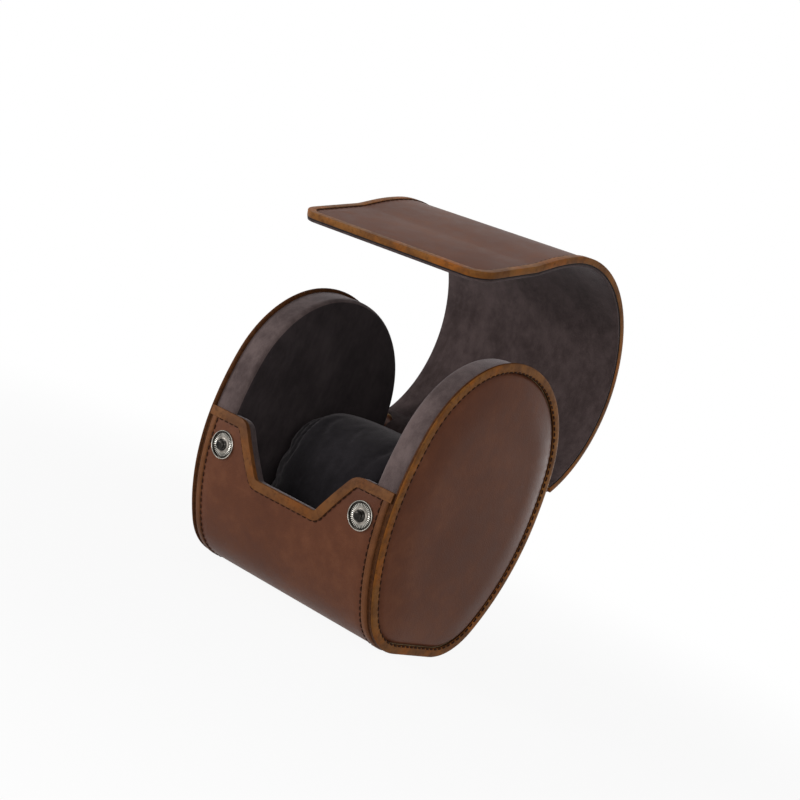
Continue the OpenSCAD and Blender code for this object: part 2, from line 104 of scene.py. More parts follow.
class Wire:
    """One output of a node; arithmetic on it adds Math nodes."""

    def __init__(self, finish, socket):
        self.finish, self.socket = finish, socket

    def maths(self, operation, a, b):
        return self.finish.node("ShaderNodeMath", {"operation": operation}, {0: a, 1: b})

    def __add__(self, other): return self.maths("ADD", self, other)
    def __radd__(self, other): return self.maths("ADD", other, self)
    def __sub__(self, other): return self.maths("SUBTRACT", self, other)
    def __rsub__(self, other): return self.maths("SUBTRACT", other, self)
    def __mul__(self, other): return self.maths("MULTIPLY", self, other)
    def __rmul__(self, other): return self.maths("MULTIPLY", other, self)


class Finish:
    """A new material, or a world that is handed in, built up node by node."""

    def __init__(self, name, world=None):
        self.made = world or bpy.data.materials.new(name)
        self.made.use_nodes = True
        self.tree = self.made.node_tree
        self.tree.nodes.clear()

    def node(self, kind, settings=None, inputs=None, output=0):
        new = self.tree.nodes.new(kind)
        for key, value in (settings or {}).items():
            if key == "stops":
                while len(new.color_ramp.elements) < len(value):
                    new.color_ramp.elements.new(0.5)
                for element, (position, colour) in zip(new.color_ramp.elements, value):
                    element.position, element.color = position, colour
            else:
                setattr(new, key, value)
        for key, value in (inputs or {}).items():
            if isinstance(value, Wire):
                self.tree.links.new(value.socket, new.inputs[key])
            else:
                new.inputs[key].default_value = value
        return Wire(self, new.outputs[output])

    def place(self, stretch=(1, 1, 1)):
        spot = self.node("ShaderNodeTexCoord", output="Object")
        if stretch == (1, 1, 1):
            return spot
        return self.node("ShaderNodeMapping", None, {"Vector": spot, "Scale": stretch})

    def noise(self, scale, detail=3, roughness=0.5, stretch=(1, 1, 1)):
        return self.node("ShaderNodeTexNoise", None,
                         {"Vector": self.place(stretch), "Scale": scale, "Detail": detail,
                          "Roughness": roughness})

    def cells(self, scale):
        return self.node("ShaderNodeTexVoronoi", None, {"Vector": self.place(), "Scale": scale})

    def between(self, wire, low, high):
        """Spreads the part of a wire between low and high over 0 to 1."""
        return self.node("ShaderNodeMapRange", {"interpolation_type": "SMOOTHSTEP"},
                         {0: wire, 1: low, 2: high, 3: 0, 4: 1})

    def blend(self, share, first, second):
        return self.node("ShaderNodeMix", {"data_type": "RGBA"},
                         {0: share, 6: first, 7: second}, 2)

    def bump(self, height, distance, strength):
        return self.node("ShaderNodeBump", None,
                         {"Height": height, "Distance": distance, "Strength": strength})

    def surface(self, **inputs):
        names = {key.replace("_", " "): value for key, value in inputs.items()}
        self.ends_in(self.node("ShaderNodeBsdfPrincipled", None, names, "BSDF"))
        return self.made

    def ends_in(self, shader, kind="ShaderNodeOutputMaterial"):
        end = self.tree.nodes.new(kind)
        self.tree.links.new(shader.socket, end.inputs["Surface"])


print("material helpers ready")

# %% [markdown]
# The wrap, the panels and the lid are smooth pull-up leather: waxed hide with a fine
# pebble grain of about half a millimetre, a cloudy colour that is lighter where the wax
# is pushed away, and small dark pores. Colour, roughness and bump all come from noise at
# those real sizes, so that the grain stays the same whichever piece wears it.

# %% Brown leather
def hide(name, dark, middle, light):
    f = Finish(name)
    clouds = f.noise(38, 3, 0.55)
    smudges = f.noise(210, 4, 0.6)
    pores = f.between(f.noise(2600, 2, 0.5), 0.66, 0.8)
    pebble = f.cells(2100)
    crease = f.noise(900, 3, 0.6)
    share = f.between(clouds * 0.65 + smudges * 0.35, 0.3, 0.7)
    colour = f.blend(share, dark, middle)
    colour = f.blend(f.between(smudges * 0.5 + clouds * 0.5, 0.5, 0.78) * 0.6, colour, light)
    colour = f.blend(pores * 0.35, colour, tuple(v * 0.45 for v in dark[:3]) + (1,))
    height = pebble * 0.5 + crease * 0.5 - pores * 0.6
    return f.surface(Base_Color=colour, Roughness=0.47 + (smudges - 0.5) * 0.22,
                     Normal=f.bump(height, 0.00009, 0.6), Specular_IOR_Level=0.11)


brown = hide("brown_leather", srgb(86, 49, 33), srgb(103, 61, 41), srgb(118, 75, 53))
brown_strip = hide("brown_strip_leather", srgb(92, 55, 30), srgb(112, 69, 40), srgb(132, 86, 54))
print("made", brown.name, "and", brown_strip.name)

# %% [markdown]
# The bindings and the welts are a thinner tan leather, whose cut and polished faces are
# streaky: amber where the wax is thick, dull ochre where it is rubbed.

# %% Tan leather
def tan_hide(name, dark, light, amber, groove):
    f = Finish(name)
    streaks = f.noise(110, 4, 0.65)
    fibres = f.noise(520, 4, 0.7)
    wear = f.noise(80, 3, 0.6)
    pebble = f.cells(2600)
    colour = f.blend(f.between(streaks, 0.36, 0.64), dark, light)
    colour = f.blend(f.between(wear, 0.47, 0.66) * 0.65, colour, amber)
    colour = f.blend(f.between(fibres, 0.5, 0.7) * 0.6, colour, groove)
    height = pebble * 0.35 + fibres * 0.65
    return f.surface(Base_Color=colour, Roughness=0.5 + (fibres - 0.5) * 0.3,
                     Normal=f.bump(height, 0.00008, 0.6), Specular_IOR_Level=0.09)


tan = tan_hide("tan_leather", srgb(103, 64, 31), srgb(135, 88, 41), srgb(157, 90, 29),
               srgb(78, 46, 22))
tan_dull = tan_hide("dull_tan_leather", srgb(92, 57, 32), srgb(116, 75, 42), srgb(130, 76, 32),
                    srgb(68, 41, 24))
print("made", tan.name, "and", tan_dull.name)

# %% [markdown]
# Microsuede has no grain but a nap: short fibres that lie in patches, so that the same
# cloth looks lighter and darker from spot to spot, and that glow faintly at the edges.

# %% Microsuede
def nap(name, dark, light, sheen=0.35):
    f = Finish(name)
    patches = f.noise(70, 4, 0.62)
    strokes = f.noise(420, 4, 0.7, (1, 1, 0.45))
    fibres = f.noise(3800, 2, 0.6)
    share = f.between(patches * 0.55 + strokes * 0.3 + fibres * 0.15, 0.34, 0.68)
    height = fibres * 0.7 + strokes * 0.3
    return f.surface(Base_Color=f.blend(share, dark, light), Roughness=0.92,
                     Normal=f.bump(height, 0.00016, 0.8), Specular_IOR_Level=0.05,
                     Sheen_Weight=sheen, Sheen_Roughness=0.45,
                     Sheen_Tint=(0.8, 0.74, 0.76, 1))


suede = nap("grey_suede", srgb(58, 47, 46), srgb(92, 78, 77))
# Two copies for the cheeks: lighter as painted light on the rim, darker as painted shade.
suede_painted_light = nap("painted_light_suede", srgb(74, 62, 61), srgb(112, 97, 95))
suede_shade = nap("shaded_suede", srgb(44, 38, 39), srgb(66, 58, 59), 0.2)
suede_dark = nap("black_suede", srgb(26, 24, 26), srgb(44, 41, 44), 0.25)
print("made", suede.name, "and", suede_dark.name)

# %% [markdown]
# Thread, snaps and the hidden layers. Waxed thread is nearly black-brown and twisted.
# The snaps are gunmetal: a dark plating that is brushed and a little uneven. Boards,
# foam and fibreboard sit inside, and still get a finish of their own, because the part
# can be opened up.

# %% Thread, metal and the hidden layers
def plain_fibre(name, dark, light, scale, rough, depth, stretch=(1, 1, 1), shine=0.3):
    f = Finish(name)
    coarse = f.noise(scale, 4, 0.65, stretch)
    fine = f.noise(scale * 7, 3, 0.6, stretch)
    share = f.between(coarse * 0.6 + fine * 0.4, 0.36, 0.66)
    return f.surface(Base_Color=f.blend(share, dark, light), Roughness=rough + (fine - 0.5) * 0.1,
                     Normal=f.bump(fine * 0.6 + coarse * 0.4, depth, 0.7),
                     Specular_IOR_Level=shine)


def plating(name, dark, light, rough):
    f = Finish(name)
    tarnish = f.noise(420, 4, 0.6)
    brushed = f.noise(2600, 3, 0.6, (1, 0.12, 1))
    colour = f.blend(f.between(tarnish, 0.35, 0.68), dark, light)
    return f.surface(Base_Color=colour, Metallic=1.0, Roughness=rough + (brushed - 0.5) * 0.2,
                     Normal=f.bump(brushed, 0.00002, 0.4))


thread = plain_fibre("waxed_thread", srgb(38, 21, 14), srgb(64, 38, 25), 2200, 0.75, 0.00006,
                     shine=0.08)
# Near-black finish that paints the shade on the layers' edge under the lid binding.
painted_rim_shade = plain_fibre("layer_edge_painted_shade", srgb(24, 19, 18), srgb(40, 32, 30), 900, 0.7, 0.00004,
                        shine=0.12)
# Dark tan for burnished edges, which also paints shade in grooves and on sides away from the
# light.
tan_edge_and_shade = plain_fibre("burnished_and_shaded_tan", srgb(58, 33, 17), srgb(88, 52, 26), 700, 0.6, 0.00004,
                       shine=0.06)
metal = plating("gunmetal", srgb(158, 154, 146), srgb(206, 202, 193), 0.24)
# Darker copies of the plating: painted shade in the snap's dish; the darkest is also the studs'
# own plating.
metal_dark_and_shade = plating("gunmetal_dark_and_shade", srgb(32, 30, 28), srgb(66, 63, 60), 0.24)
metal_half_shade = plating("gunmetal_half_shade", srgb(118, 113, 106), srgb(156, 150, 142), 0.34)
board = plain_fibre("grey_board", srgb(150, 128, 98), srgb(188, 164, 128), 300, 0.85, 0.0001)
foam = plain_fibre("foam", srgb(206, 196, 172), srgb(228, 220, 200), 1500, 0.95, 0.0003)
fibreboard = plain_fibre("fibreboard", srgb(122, 92, 62), srgb(164, 130, 92), 500, 0.8, 0.0001,
                         (0.25, 1, 1))
print("made", [m.name for m in (thread, painted_rim_shade, metal, metal_dark_and_shade, board, foam, fibreboard)])

# %% [markdown]
# Every sheet of this case follows one closed line: the oval of the ends. It is made of
# arcs that meet without a corner, so that a point on it is found from the direction of
# its normal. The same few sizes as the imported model's give the arcs. Side and crown are
# flatter than the shoulder between them, and how much larger their radii have to be
# follows from the oval's depth and height, as two equations with two unknowns.

# %% The oval
HALF_DEPTH, CROWN_H, BASE_H = 40.5, 49.1, 48.2
SHOULDER_R, SIDE_TURN, CROWN_TURN = 38, 12, 16
FOOT_R, FOOT_Y = 22.5, 10
SIDE_FALL, CROWN_FALL = 1 - cos(SIDE_TURN), 1 - cos(CROWN_TURN)
WIDER, HIGHER = HALF_DEPTH - SHOULDER_R, CROWN_H - SHOULDER_R
CROSS = SIDE_FALL * CROWN_FALL - sin(CROWN_TURN) * sin(SIDE_TURN)
SIDE_MORE = (WIDER * CROWN_FALL - HIGHER * sin(CROWN_TURN)) / CROSS
CROWN_MORE = (HIGHER * SIDE_FALL - WIDER * sin(SIDE_TURN)) / CROSS
SIDE_R, CROWN_R = SHOULDER_R + SIDE_MORE, SHOULDER_R + CROWN_MORE
FOOT_TURN = 2 * math.degrees(math.atan((HALF_DEPTH - FOOT_R - FOOT_Y) / (BASE_H - FOOT_R)))
FLANK_R = FOOT_R + (BASE_H - FOOT_R) / sin(FOOT_TURN)
SHOULDER_Y, SHOULDER_Z = CROWN_MORE * sin(CROWN_TURN), SIDE_MORE * sin(SIDE_TURN)
# Each arc's middle (y, z), radius, and the normal directions where it starts and ends
ARCS = [
    (HALF_DEPTH - SIDE_R, 0, SIDE_R, 0, SIDE_TURN),
    (SHOULDER_Y, SHOULDER_Z, SHOULDER_R, SIDE_TURN, 90 - CROWN_TURN),
    (0, CROWN_H - CROWN_R, CROWN_R, 90 - CROWN_TURN, 90 + CROWN_TURN),
    (-SHOULDER_Y, SHOULDER_Z, SHOULDER_R, 90 + CROWN_TURN, 180 - SIDE_TURN),
    (SIDE_R - HALF_DEPTH, 0, SIDE_R, 180 - SIDE_TURN, 180),
    (FLANK_R - HALF_DEPTH, 0, FLANK_R, 180, 180 + FOOT_TURN),
    (-FOOT_Y, FOOT_R - BASE_H, FOOT_R, 180 + FOOT_TURN, 270),
    (FOOT_Y, FOOT_R - BASE_H, FOOT_R, 270, 360 - FOOT_TURN),
    (HALF_DEPTH - FLANK_R, 0, FLANK_R, 360 - FOOT_TURN, 360),
    (HALF_DEPTH - SIDE_R, 0, SIDE_R, 360, 360 + SIDE_TURN),
]


def arc_point(y, z, r, turn):
    return (y + r * cos(turn), z + r * sin(turn) + BASE_H)


def oval_at(turn, off=0.0):
    """Point (y, z) in millimetres on the oval, off outside it, where its normal is turn."""
    for y, z, r, first, last in ARCS:
        if turn <= last:
            break
    return arc_point(y, z, r + off, turn)


def oval_path(off, start, end, chord=2.0):
    """Points along the oval between two normal directions, about a chord apart."""
    path = []
    for y, z, r, first, last in ARCS:
        a, b = max(first, start), min(last, end)
        if b - a < 1e-6:
            continue
        steps = max(1, math.ceil(r * math.radians(b - a) / chord))
        for k in range(steps + 1):
            turn = a + (b - a) * k / steps
            point = arc_point(y, z, r + off, turn)
            if not path or math.dist(path[-1], point) > 0.02:
                path.append(point)
    return path


print("oval", len(oval_path(0, 0, 360)), "points, side radius", round(SIDE_R, 2))

# %% [markdown]
# The lid is drawn shut, where it follows the same oval, and then swung open: it turns
# by 59.5 degrees round the fold at the back, and its flap leans out by 6 degrees more.
# The flap turns about the flex line, where the leather is left bare between two boards.
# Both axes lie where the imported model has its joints.

# %% Swinging points open
HINGE_RISE = 11.5
HINGE = (39.5158, BASE_H + HINGE_RISE)
FLEX = (-13.38, 125.248)
OPEN, LEAN = 59.5, 6.0
LID_START, LID_END, LID_SKIRT, FLAP_LEN = 11.15, 176.2, 7.0, 28.0
LID_FORWARD, FLEX_BARE = 0.4, 0.6


def turned(path, centre, angle):
    """The points of a path (y, z), turned about centre."""
    c, s = cos(angle), sin(angle)
    return [(centre[0] + (y - centre[0]) * c - (z - centre[1]) * s,
             centre[1] + (y - centre[0]) * s + (z - centre[1]) * c) for y, z in path]


def lid_path(off, skirt=LID_SKIRT):
    """Across the open lid, from its root at the back to the flex line."""
    shut = oval_path(off, LID_START, LID_END)
    y, z = shut[-1]
    shut += [(y - sin(LID_END) * skirt * k / 3, z + cos(LID_END) * skirt * k / 3)
             for k in (1, 2, 3)]
    return turned([(y - LID_FORWARD, z) for y, z in shut], HINGE, -OPEN)


def flap_path(off, steps=2, inset=0.0):
    """Down the leaning flap, from just past the flex line to its tip."""
    y, z = oval_at(LID_END, off)
    y -= LID_FORWARD
    free = FLAP_LEN - inset - FLEX_BARE
    line = [(y - sin(LID_END) * (LID_SKIRT + d), z + cos(LID_END) * (LID_SKIRT + d))
            for d in [FLEX_BARE + free * k / steps for k in range(steps + 1)]]
    return turned(turned(line, HINGE, -OPEN), FLEX, -LEAN)


print("lid outer line", len(lid_path(3.2)), "points, tip at",
      [round(v, 1) for v in flap_path(3.2)[-1]])

# %% [markdown]
# A sheet of leather can be modelled by hand from one row of points: the row is extruded
# from step to step along the line, as a loom lays cloth. A grid with a single row of
# faces gives that row; one of its two edges is deleted. Solidify then gives the sheet
# its thickness on the inner side, and Bevel softens the cut edges.

# %% Tools for sheets
def close_edit():
    bpy.ops.object.mode_set(mode="OBJECT")


def deselect():
    if bpy.context.mode != "OBJECT":
        close_edit()
    bpy.ops.object.select_all(action="DESELECT")


def only(piece):
    deselect()
    piece.select_set(True)
    bpy.context.view_layer.objects.active = piece


def edit_all(piece):
    """Opens a piece for editing, with all of it selected."""
    only(piece)
    bpy.ops.object.mode_set(mode="EDIT")
    bpy.ops.mesh.select_all(action="SELECT")


def extrude_by(x, y, z):
    """Extrudes what is selected by a step in millimetres."""
    bpy.ops.mesh.extrude_region_move(TRANSFORM_OT_translate={"value": (x * MM, y * MM, z * MM)})


def recalculate(piece, inside=False):
    edit_all(piece)
    bpy.ops.mesh.normals_make_consistent(inside=inside)
    close_edit()


def pick(piece, kind, rule):
    """Selects the vertices, edges or faces of a piece that a rule accepts."""
    only(piece)
    mesh = piece.data
    for group in (mesh.vertices, mesh.edges, mesh.polygons):
        group.foreach_set("select", [False] * len(group))
    bpy.ops.object.mode_set(mode="EDIT")
    bpy.ops.mesh.select_mode(type={"vertices": "VERT", "edges": "EDGE", "polygons": "FACE"}[kind])
    close_edit()
    for part in getattr(mesh, kind):
        part.select = bool(rule(part))
    bpy.ops.object.mode_set(mode="EDIT")


def lay_sheet(name, path, half, columns=24, flare=None):
    """A sheet from -half to half along X that follows the points (y, z), all in mm."""
    deselect()
    bpy.ops.mesh.primitive_grid_add(x_subdivisions=columns, y_subdivisions=1, size=1)
    piece = bpy.context.object
    piece.name = name
    pick(piece, "vertices", lambda v: v.co.y > 0)
    bpy.ops.mesh.delete(type="VERT")
    bpy.ops.mesh.select_all(action="SELECT")
    bpy.ops.transform.resize(value=(2 * half * MM, 1, 1))
    bpy.ops.transform.translate(value=(0, path[0][0] * MM + 0.5, path[0][1] * MM))
    wide = half
    for k, (a, b) in enumerate(zip(path, path[1:]), 1):
        extrude_by(0, b[0] - a[0], b[1] - a[1])
        if flare and flare(k) != wide:
            bpy.ops.transform.resize(value=(flare(k) / wide, 1, 1))
            wide = flare(k)
    close_edit()
    return piece


def face_out(piece, centre=None):
    """Turns the faces away from centre (y, z), or else from the barrel's axis."""
    y, z = centre or (0, BASE_H)
    total = sum(f.area * (f.normal.y * (f.center.y - y * MM) + f.normal.z * (f.center.z - z * MM))
                for f in piece.data.polygons)
    if total < 0:
        edit_all(piece)
        bpy.ops.mesh.flip_normals()
        close_edit()


def modify(piece, kind, **settings):
    only(piece)
    modifier = piece.modifiers.new(kind.lower(), kind)
    for key, value in settings.items():
        setattr(modifier, key, value)
    bpy.ops.object.modifier_apply(modifier=modifier.name)


def thicken(piece, thickness):
    modify(piece, "SOLIDIFY", thickness=thickness * MM, offset=-1, use_even_offset=True)


def soften(piece, width, segments=2, angle=35):
    modify(piece, "BEVEL", width=width * MM, segments=segments, limit_method="ANGLE",
           angle_limit=math.radians(angle))


def smooth(piece, angle=40):
    only(piece)
    bpy.ops.object.shade_smooth_by_angle(angle=math.radians(angle))


def carve(piece, cutter, operation="DIFFERENCE"):
    modify(piece, "BOOLEAN", object=cutter, operation=operation, solver="EXACT")
    bpy.data.objects.remove(cutter, do_unlink=True)


def dress(piece, material, body=None, nodes=()):
    """Gives a piece its finish, body and slot, and hides the CAD nodes it stands for."""
    if material:
        piece.data.materials.clear()
        piece.data.materials.append(material)
    if body:
        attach(piece, body)
    if nodes:
        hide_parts(*nodes)
    print(piece.name, "has", len(piece.data.polygons), "faces")


print("sheet tools ready")

# %% [markdown]
# The front edge of the barrel dips between the two horns in a wide V with a flat floor,
# so that a watch can be lifted out. One prism cuts it out of each layer. The prism
# grows by w where a layer stops short of the binding.

# %% The notch's cutter
NOTCH_TOP, NOTCH_LOW, NOTCH_DEPTH = 47.2 / 2, 25.6 / 2, 15.6
HORN_R, FLOOR_R, LEAST_R, CORNER_STEPS = 5.4, 1.4, 0.6, 6
BEYOND, ABOVE, CUT_DEPTH = 70.0, 40.0, 50.0
SLANT = (NOTCH_TOP - NOTCH_LOW) / NOTCH_DEPTH
GROW = math.sqrt(1 + SLANT * SLANT) - SLANT


def rounded(points, radii):
    """A line of points whose inner corners are rounded with the given radii."""
    line = [points[0]]
    for before, corner, after, r in zip(points, points[1:], points[2:], radii):
        c = Vector(corner)
        u, v = (Vector(before) - c).normalized(), (Vector(after) - c).normalized()
        half = u.angle(v) / 2
        reach = r / math.tan(half)
        middle = c + (u + v).normalized() * (r / math.sin(half))
        first, last = c + u * reach - middle, c + v * reach - middle
        for k in range(CORNER_STEPS + 1):
            spot = first.lerp(last, k / CORNER_STEPS).normalized() * r
            line.append(tuple(middle + spot))
    return line + [points[-1]]


def edge_line_at(w, x_end=BEYOND):
    """The front edge (x, z) moved w down, its four corners rounded."""
    top, low = NOTCH_TOP + w * GROW, NOTCH_LOW + w * GROW
    corners = [(-x_end, -w), (-top, -w), (-low, -NOTCH_DEPTH - w), (low, -NOTCH_DEPTH - w),
               (top, -w), (x_end, -w)]
    outer, inner = max(LEAST_R, HORN_R - w), FLOOR_R + w
    return rounded(corners, [outer, inner, inner, outer])


def above_edge(w):
    """A prism over the front half that fills all above the front edge, w lower."""
    profile = [(-BEYOND, ABOVE)] + edge_line_at(w) + [(BEYOND, ABOVE)]
    deselect()
    bpy.ops.mesh.primitive_circle_add(vertices=len(profile), radius=BEYOND * MM,
                                      fill_type="NGON")
    cutter = bpy.context.object
    for corner, (x, z) in zip(cutter.data.vertices, profile):
        corner.co = (x * MM, -BEYOND * MM, (z + BASE_H) * MM)
    edit_all(cutter)
    extrude_by(0, CUT_DEPTH, 0)
    close_edit()
    recalculate(cutter)
    return cutter


print("notch slopes", round(math.degrees(math.atan(SLANT)), 1), "degrees from upright")

# %% [markdown]
# **The wrap.** One sheet of 1.2 mm leather from the horns, down the front, under the
# belly and up the back. There it leaves the barrel and bends outwards into the lid,
# so it is the hinge as well. It widens a little where the lid begins. In front it stops
# 2.3 mm below the edge, under the binding.

# %% Wrap leather
STRIP_X, SEAT_X, LID_X = 35.4, 38.7, 37.5
FOLD_R, FOLD_GAP = 0.55, 0.35
BARE_EDGE = 2.3
wrap_end = 360 + math.degrees(math.asin((HINGE_RISE - FOLD_R - FOLD_GAP) / SIDE_R))
up_back = oval_path(0, 180, wrap_end - 1.2)
root = lid_path(3.2)[0]
y0, z0 = up_back[-1]


def bend(first, middle, last, steps):
    """Points on a smooth bend from first to last, pulled towards middle."""
    return [tuple((1 - t) ** 2 * a + 2 * t * (1 - t) * m + t * t * b
                  for a, m, b in zip(first, middle, last))
            for t in [k / steps for k in range(1, steps + 1)]]


hinge_bend = bend((y0, z0), (y0 + 0.15, z0 + 2.9), (root[0] + 0.2, root[1] - 0.02), 12)
wrap_path = up_back + hinge_bend
LID_ROOT_X = STRIP_X + 1.55


def widening(k, start, narrow, wide):
    """Half the width at step k, which grows over four steps from start."""
    return narrow + (wide - narrow) * max(0.0, min(1.0, (k - start) / 4))


wrap = lay_sheet("wrap", wrap_path, STRIP_X,
                 flare=lambda k: widening(k, len(up_back) + 1, STRIP_X, LID_ROOT_X))
face_out(wrap)
thicken(wrap, 1.15)
carve(wrap, above_edge(BARE_EDGE))
soften(wrap, 0.2)
smooth(wrap)
dress(wrap, brown, None, ["base_leather"])
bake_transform(wrap)

# %% [markdown]
# ** The side strips.** Between the wrap's side stitching and each end runs a narrow strip
# of paler brown leather, rolled round like a cord, and beside the welt a dark channel
# is left, where the strip is glued down. The channel's dark colour is partly burnished edge
# and partly painted shade in the groove. Strip and channel are two narrow sheets.

# %% Side strips
SIDES = (("left", -1), ("right", 1))
STRIP_OUT, CHANNEL_IN, CHANNEL_OUT = 37.75, 37.2, SEAT_X + 0.1


def narrow_sheet(name, off, x0, x1, side):
    """A strip up the barrel at height off, from x0 to x1 on one side."""
    strip = lay_sheet(name, oval_path(off, 180, wrap_end), (x1 - x0) / 2, columns=3)
    edit_all(strip)
    bpy.ops.transform.translate(value=(side * (x0 + x1) / 2 * MM, 0, 0))
    close_edit()
    face_out(strip)
    return strip


def side_strip(which, side):
    strip = narrow_sheet("strip_" + which, 0.28, STRIP_X + 0.05, STRIP_OUT, side)
    thicken(strip, 1.4)
    carve(strip, above_edge(BARE_EDGE))
    soften(strip, 0.75, 4)
    smooth(strip, 60)
    dress(strip, brown_strip, "base", ["side_strip_" + which])
    channel = narrow_sheet("channel_" + which, -0.45, CHANNEL_IN, CHANNEL_OUT, side)
    thicken(channel, 0.7)
    carve(channel, above_edge(BARE_EDGE))
    smooth(channel, 60)
    # The channel's dark tan: burnished edge and painted shade in the groove.
    dress(channel, tan_edge_and_shade, "base", ["side_strip_" + which])


for which, side in SIDES:
    side_strip(which, side)

# %% [markdown]
# **The base lining.** Microsuede covers the stiffening board inside, between the cheeks.
# Its top edge at the back ends below the fold, and a strip of bare suede bridges to the
# lid's lining.

# %% Base lining
BAY_HALF = 30.0
lining = lay_sheet("lining", oval_path(-2.7, 180, wrap_end - 2.2), BAY_HALF - 0.05, 20)
face_out(lining)
thicken(lining, 0.8)
carve(lining, above_edge(1.2))
smooth(lining)
dress(lining, suede, "base", ["base_lining"])

# %% [markdown]
# ** The front binding.** A tan band, 3 mm wide, is folded over the edge of the horns and
# the notch. The band is what is left of a thicker sheet between the edge and the same
# edge moved down by the band's width. A wide bevel rounds it like folded leather, and
# its lower edge is dark, partly burnished and partly painted shade under the band. Behind
# it the suede lining is turned over the board.

# %% Front binding
BAND_WIDE = 3.0


def front_band(name, outer, inner, half):
    """A band along the front edge, from outer to inner through the layers' thickness."""
    band = lay_sheet(name, oval_path(outer, 180, 180 + FOOT_TURN, 1.5), half)
    face_out(band)
    thicken(band, outer - inner)
    carve(band, above_edge(0))
    carve(band, above_edge(BAND_WIDE), "INTERSECT")
    return band


def burnish(piece, material, rule):
    """Gives the faces that a rule accepts a second, darker finish: burnished edges and painted
    shade.
    """
    piece.data.materials.append(material)
    count = 0
    for face in piece.data.polygons:
        if rule(face):
            face.material_index = len(piece.data.materials) - 1
            count += 1
    print(piece.name, "burnished on", count, "faces")


binding = front_band("front_binding_leather", 0.5, -1.2, SEAT_X)
soften(binding, 0.8, 4, 50)
smooth(binding, 60)
dress(binding, tan_dull, "base", ["front_binding"])
# Darkened lower edge and ends: burnished leather and painted shade.
burnish(binding, tan_edge_and_shade, lambda f: -f.normal.z > 0.75
        or abs(f.normal.x) > 0.9 and abs(f.center.x) > 37 * MM)
inner_binding = front_band("front_binding_back", -1.2, -3.9, BAY_HALF - 0.1)
soften(inner_binding, 0.6, 3, 50)
smooth(inner_binding, 60)
dress(inner_binding, suede, "base", ["front_binding"])

# %% [markdown]
# **Welts and padded ends.** The edge of each end is bound by a tan strip, rounded on its
# outer corner. Inside it the leather panel swells over a pad: the fill starts in a
# groove beside the welt, rises steeply and levels off. An n-gon of the oval, inset again
# and again, is lifted step by step to give exactly that section.

# %% Oval discs
def oval_disc(name, off, x):
    """A flat oval face at x, drawn as one edge loop and filled."""
    path = oval_path(off, 0, 360)
    if math.dist(path[0], path[-1]) < 0.05:
        path = path[:-1]
    deselect()
    bpy.ops.mesh.primitive_circle_add(vertices=len(path), radius=0.04, fill_type="NGON")
    disc = bpy.context.object
    disc.name = name
    for vertex, (y, z) in zip(disc.data.vertices, path):
        vertex.co = (x * MM, y * MM, z * MM)
    return disc


def raise_rings(disc, steps, side):
    """Insets the disc's top face by each width and lifts it by each height, in mm."""
    edit_all(disc)
    bpy.ops.mesh.select_mode(type="FACE")
    for width, height in steps:
        bpy.ops.mesh.inset(thickness=width * MM, depth=0)
        bpy.ops.transform.translate(value=(side * height * MM, 0, 0))
    close_edit()


print("disc tools ready")

# %% Welts
WELT_WIDE, WELT_HIGH = 3.1, 1.4


def welt(which, side):
    ring = oval_disc("welt_" + which, 0, side * SEAT_X)
    edit_all(ring)
    bpy.ops.mesh.inset(thickness=WELT_WIDE * MM, depth=0)
    bpy.ops.mesh.delete(type="FACE")
    bpy.ops.mesh.select_all(action="SELECT")
    extrude_by(side * WELT_HIGH, 0, 0)
    close_edit()
    recalculate(ring)
    soften(ring, 0.65, 4)
    smooth(ring, 60)
    dress(ring, tan, "base", ["end_welt_" + which])
    # Darkened inner sides of the welt: burnished edge and painted shade.
    burnish(ring, tan_edge_and_shade, lambda f: f.normal.x * side < 0.45)


for which, side in SIDES:
    welt(which, side)

# %% Padded end panels
DOME_WIDE, DOME_RISE, DOME_START = 13.0, 2.0, 0.9
GROOVE_STEPS = [(0.05, 0.16), (0.15, 0.36), (0.25, 0.58), (0.35, 0.8)]
DOME_STEPS = [0.5, 0.8, 1.1, 1.5, 1.8, 2.0, 2.2, 2.3]


def swell(d):
    """Height of the pad over the seat, d inside its edge: an arc that levels off."""
    r = (DOME_WIDE ** 2 + DOME_RISE ** 2) / (2 * DOME_RISE)
    reach = max(0.0, DOME_WIDE - d)
    return DOME_START + DOME_RISE - r + math.sqrt(r * r - reach * reach)


def end_panel(which, side):
    panel = oval_disc("panel_" + which, -WELT_WIDE - 0.05, side * (SEAT_X + 0.05))
    levels = list(GROOVE_STEPS)
    d = sum(width for width, level in GROOVE_STEPS)
    for width in DOME_STEPS:
        d += width
        levels.append((width, swell(d)))
    below = [0.0] + [level for width, level in levels]
    raise_rings(panel, [(width, level - under) for (width, level), under in zip(levels, below)],
                side)
    recalculate(panel)
    if (panel.data.polygons[-1].normal.x > 0) != (side > 0):
        recalculate(panel, True)
    smooth(panel, 60)
    dress(panel, brown, "base", ["end_panel_" + which])


for which, side in SIDES:
    end_panel(which, side)

# %% [markdown]
# ** The cheeks.** Inside each end stands a thick oval cheek, covered with the suede. The
# closed lid rests on its rim, so the rim is square, with an edge rounded by 2 mm towards
# the bay. The cover wears a lighter copy of the suede, which paints light on the rim. The
# face towards the bay lies in shade, and a darker copy of the suede paints that shade.

# %% Cheeks
RIM_R = 2.0


